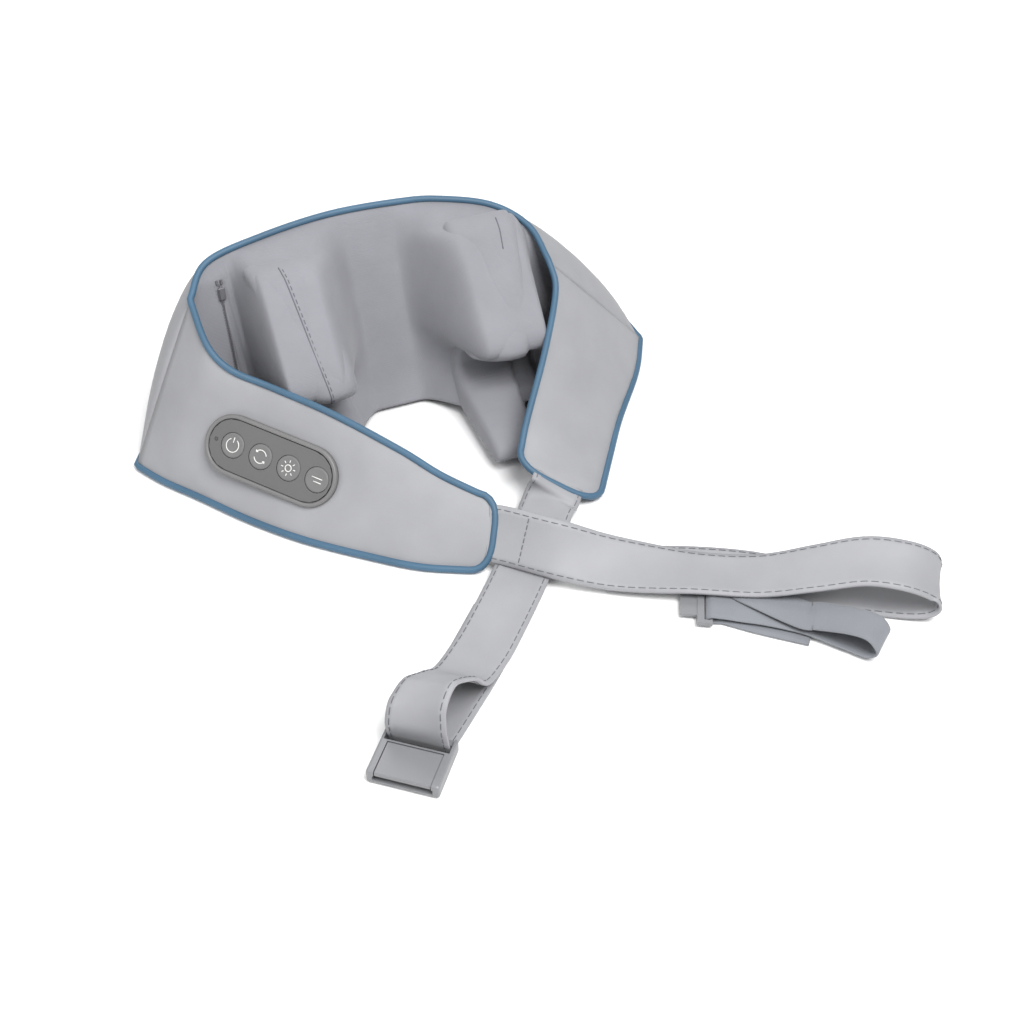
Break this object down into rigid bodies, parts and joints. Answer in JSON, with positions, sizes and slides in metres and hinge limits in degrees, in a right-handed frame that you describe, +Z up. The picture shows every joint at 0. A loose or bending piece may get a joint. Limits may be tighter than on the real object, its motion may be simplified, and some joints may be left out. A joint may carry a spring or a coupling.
{
  "type": "neck massager",
  "caption": "Padded shiatsu collar with two kneading hands, a four-button control panel, two straps and a buckle.",
  "frame": {"origin": "on the underside of the base panel, in the middle of the collar's width", "axes": "+Z up, arms of the collar point along -Y, left arm with the control panel on -X"},
  "size_m": [0.473, 0.4823, 0.1424],
  "materials": {
    "grey_leather": "matt",
    "stretch_fabric": "woven",
    "foam": "matt",
    "grey_plastic": "satin",
    "black_plastic": "satin",
    "steel": "satin",
    "piping": "satin",
    "circuit_board": "satin",
    "battery": "satin",
    "brass": "satin",
    "bezel_plastic": "satin",
    "panel_plastic": "satin",
    "lens": "gloss",
    "button_rubber": "satin",
    "webbing": "woven",
    "buckle_plastic": "satin",
    "zipper_metal": "satin"
  },
  "bodies": {
    "collar": {"back_cover": "grey_leather", "left_arm_cover": "grey_leather", "right_arm_cover": "grey_leather", "left_strap": "grey_leather", "right_strap": "grey_leather", "left_arm_lining": "stretch_fabric", "right_arm_lining": "stretch_fabric", "centre_skin": "stretch_fabric", "left_side_skin": "stretch_fabric", "right_side_skin": "stretch_fabric", "base_panel": "stretch_fabric", "zipper_tape": "stretch_fabric", "back_padding": "foam", "left_arm_padding": "foam", "right_arm_padding": "foam", "gearbox_half_left": "black_plastic", "gearbox_half_right": "black_plastic", "chassis": "black_plastic", "charging_port": "black_plastic", "control_tray": "black_plastic", "motor": "steel", "shaft_bearing_left": "steel", "shaft_bearing_right": "steel", "edge_piping": "piping", "main_board": "circuit_board", "control_board": "circuit_board", "battery_cell_left": "battery", "battery_cell_right": "battery", "control_bezel": "bezel_plastic", "control_plate": "panel_plastic", "indicator_lens": "lens", "elastic_webbing": "webbing", "buckle_body": "buckle_plastic", "buckle_cover": "buckle_plastic", "buckle_insert": "buckle_plastic"},
    "drive_shaft": {"cross_shaft": "steel", "worm_wheel": "brass", "wobble_hub_left": "steel", "wobble_hub_right": "steel"},
    "motor_rotor": {"worm": "steel"},
    "hand_left": {"hand_frame_left": "grey_plastic", "hand_bearing_left": "steel", "hand_pad_left": "foam", "hand_cover_left": "stretch_fabric"},
    "hand_right": {"hand_frame_right": "grey_plastic", "hand_bearing_right": "steel", "hand_pad_right": "foam", "hand_cover_right": "stretch_fabric"},
    "power_button": {"button_power": "button_rubber"},
    "direction_button": {"button_direction": "button_rubber"},
    "heat_button": {"button_heat": "button_rubber"},
    "mode_button": {"button_mode": "button_rubber"},
    "zipper_pull": {"zipper_slider": "zipper_metal"}
  },
  "joints": [
    {"name": "shaft_spin", "type": "hinge", "parent": "collar", "child": "drive_shaft", "pos_m": [0, 0.028, 0.07], "axis": [1, 0, 0], "continuous": true},
    {"name": "motor_spin", "type": "hinge", "parent": "collar", "child": "motor_rotor", "pos_m": [0, 0.0478, 0.07], "axis": [0, 0, 1], "continuous": true},
    {"name": "hand_left_wobble", "type": "hinge", "parent": "drive_shaft", "child": "hand_left", "pos_m": [-0.075, 0.028, 0.07], "axis": [0.999, 0, -0.0436], "continuous": true},
    {"name": "hand_right_wobble", "type": "hinge", "parent": "drive_shaft", "child": "hand_right", "pos_m": [0.075, 0.028, 0.07], "axis": [0.999, 0, 0.0436], "continuous": true},
    {"name": "power_press", "type": "slide", "parent": "collar", "child": "power_button", "axis": [0.552, 0.5805, -0.5986], "range_m": [0, 0.0008], "stiffness_N_per_m": 400},
    {"name": "direction_press", "type": "slide", "parent": "collar", "child": "direction_button", "axis": [0.552, 0.5805, -0.5986], "range_m": [0, 0.0008], "stiffness_N_per_m": 400},
    {"name": "heat_press", "type": "slide", "parent": "collar", "child": "heat_button", "axis": [0.552, 0.5805, -0.5986], "range_m": [0, 0.0008], "stiffness_N_per_m": 400},
    {"name": "mode_press", "type": "slide", "parent": "collar", "child": "mode_button", "axis": [0.552, 0.5805, -0.5986], "range_m": [0, 0.0008], "stiffness_N_per_m": 400},
    {"name": "zipper_slide", "type": "slide", "parent": "collar", "child": "zipper_pull", "axis": [0, -0.2572, -0.9664], "range_m": [0, 0.067]}
  ],
  "couplings": [
    {"joint": "motor_spin", "follows": "shaft_spin", "ratio": 24},
    {"joint": "hand_left_wobble", "follows": "shaft_spin", "ratio": -1},
    {"joint": "hand_right_wobble", "follows": "shaft_spin", "ratio": -1}
  ]
}
